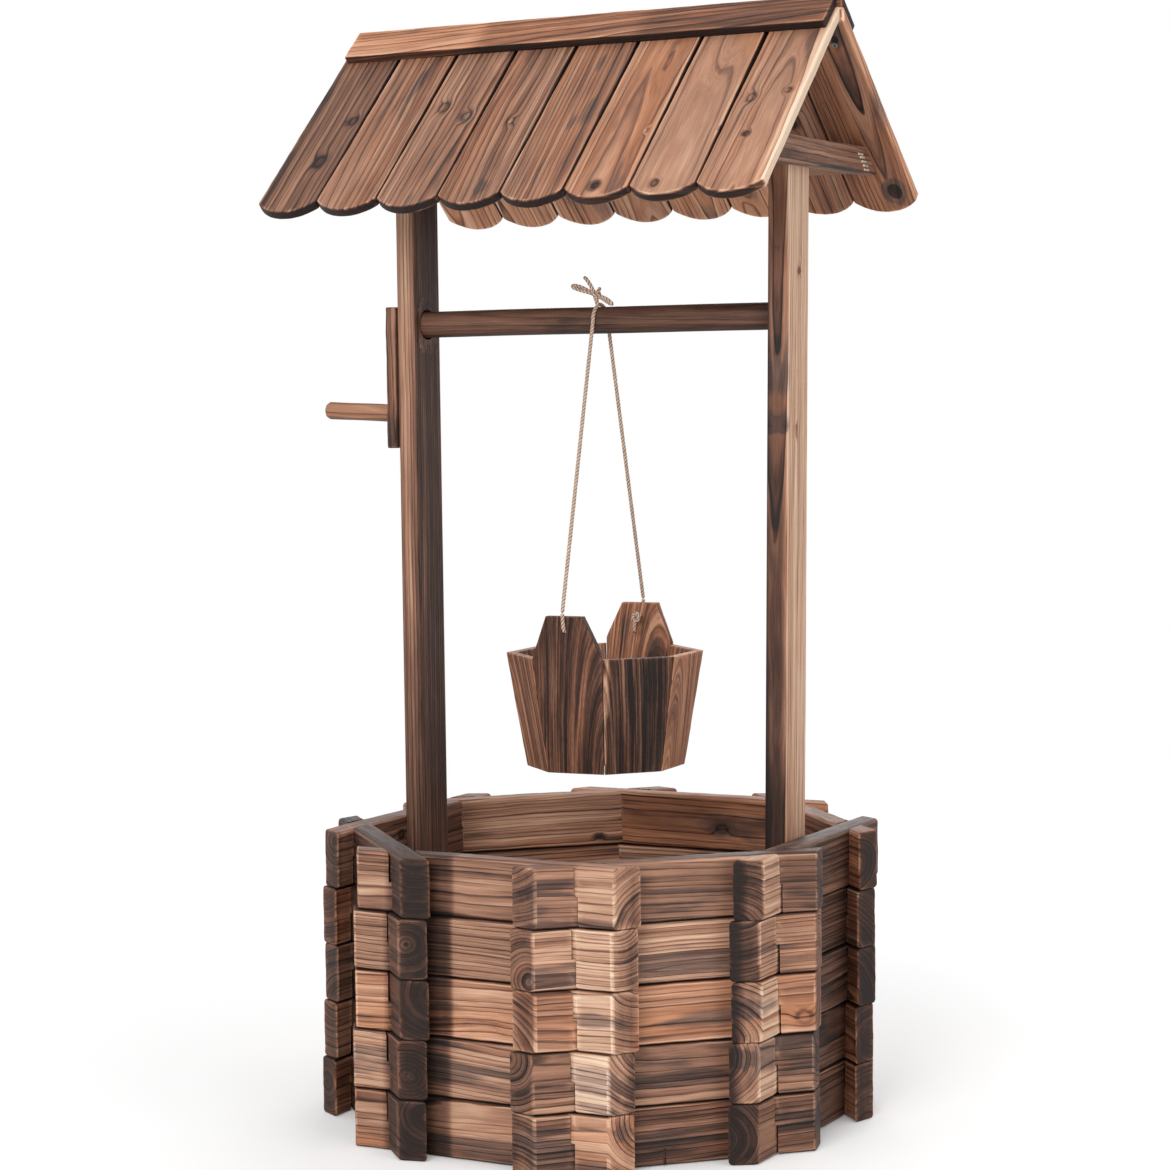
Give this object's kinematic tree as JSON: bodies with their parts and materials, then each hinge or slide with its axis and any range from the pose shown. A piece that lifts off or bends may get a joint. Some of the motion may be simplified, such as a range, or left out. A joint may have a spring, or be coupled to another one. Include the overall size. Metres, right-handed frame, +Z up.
{
  "type": "wishing well planter",
  "caption": "Wooden wishing well planter: an octagonal well of stacked notched logs, two posts, a scalloped gable roof, and a cranked spindle that lifts a hanging staved bucket.",
  "frame": {"origin": "on the ground, under the middle of the octagonal well, on the underside of the floor's middle bearer", "axes": "+Z up; X runs along the spindle, with the crank at -X; the front is -Y"},
  "size_m": [0.6091, 0.5586, 1.1369],
  "materials": {
    "tan_wood": "charred and brushed, tan",
    "brown_wood": "charred and brushed, brown",
    "dark_wood": "charred and brushed, dark brown",
    "black_wood": "deeply charred, almost black",
    "twine": "twisted natural twine"
  },
  "bodies": {
    "frame": {"wall_right_log_1": "tan_wood", "wall_right_log_2": "dark_wood", "wall_right_log_3": "brown_wood", "wall_right_log_4": "tan_wood", "wall_right_log_5": "dark_wood", "wall_back_right_log_1": "brown_wood", "wall_back_right_log_2": "tan_wood", "wall_back_right_log_3": "dark_wood", "wall_back_right_log_4": "brown_wood", "wall_back_right_log_5": "tan_wood", "wall_back_log_1": "dark_wood", "wall_back_log_2": "brown_wood", "wall_back_log_3": "tan_wood", "wall_back_log_4": "dark_wood", "wall_back_log_5": "brown_wood", "wall_back_left_log_1": "tan_wood", "wall_back_left_log_2": "dark_wood", "wall_back_left_log_3": "brown_wood", "wall_back_left_log_4": "tan_wood", "wall_back_left_log_5": "dark_wood", "wall_left_log_1": "brown_wood", "wall_left_log_2": "tan_wood", "wall_left_log_3": "dark_wood", "wall_left_log_4": "brown_wood", "wall_left_log_5": "tan_wood", "wall_front_left_log_1": "dark_wood", "wall_front_left_log_2": "brown_wood", "wall_front_left_log_3": "tan_wood", "wall_front_left_log_4": "dark_wood", "wall_front_left_log_5": "brown_wood", "wall_front_log_1": "tan_wood", "wall_front_log_2": "dark_wood", "wall_front_log_3": "brown_wood", "wall_front_log_4": "tan_wood", "wall_front_log_5": "dark_wood", "wall_front_right_log_1": "brown_wood", "wall_front_right_log_2": "tan_wood", "wall_front_right_log_3": "dark_wood", "wall_front_right_log_4": "brown_wood", "wall_front_right_log_5": "tan_wood", "base_floor": "brown_wood", "post_left": "brown_wood", "post_right": "tan_wood", "roof_slope_front": "tan_wood", "roof_slope_back": "tan_wood", "ridge_cap_front": "brown_wood", "ridge_cap_back": "brown_wood", "ridge_beam": "dark_wood", "collar_tie_left": "dark_wood", "collar_tie_right": "dark_wood"},
    "winder": {"spindle": "brown_wood", "crank_arm": "brown_wood", "crank_peg": "tan_wood"},
    "rope_top": {"rope_hitch": "twine"},
    "rope_fall": {"rope_strand_front": "twine", "rope_strand_back": "twine"},
    "rope_ends": {"rope_stopper_front": "twine", "rope_stopper_back": "twine"},
    "bucket": {"bucket_staves": "black_wood", "bucket_floor": "dark_wood"}
  },
  "joints": [
    {"name": "spindle_turn", "type": "hinge", "parent": "frame", "child": "winder", "pos_m": [0, 0, 0.823], "axis": [1, 0, 0], "range_deg": [0, 540]},
    {"name": "rope_swing", "type": "hinge", "parent": "frame", "child": "rope_top", "pos_m": [0.006, 0, 0.823], "axis": [1, 0, 0], "range_deg": [-20, 20]},
    {"name": "rope_sway", "type": "hinge", "parent": "rope_top", "child": "rope_fall", "pos_m": [0.006, 0, 0.823], "axis": [0, 1, 0], "range_deg": [-8, 8]},
    {"name": "bucket_lift", "type": "slide", "parent": "rope_fall", "child": "rope_ends", "axis": [0, 0, 1], "range_m": [0, 0.151], "deforming": ["rope_strand_front", "rope_strand_back"]},
    {"name": "bucket_tip", "type": "hinge", "parent": "rope_ends", "child": "bucket", "pos_m": [0.006, 0, 0.5085], "axis": [-0.0698, 0.9976, 0], "range_deg": [-15, 15]}
  ],
  "couplings": [
    {"joint": "bucket_lift", "follows": "spindle_turn", "m_per_rad": 0.016}
  ]
}
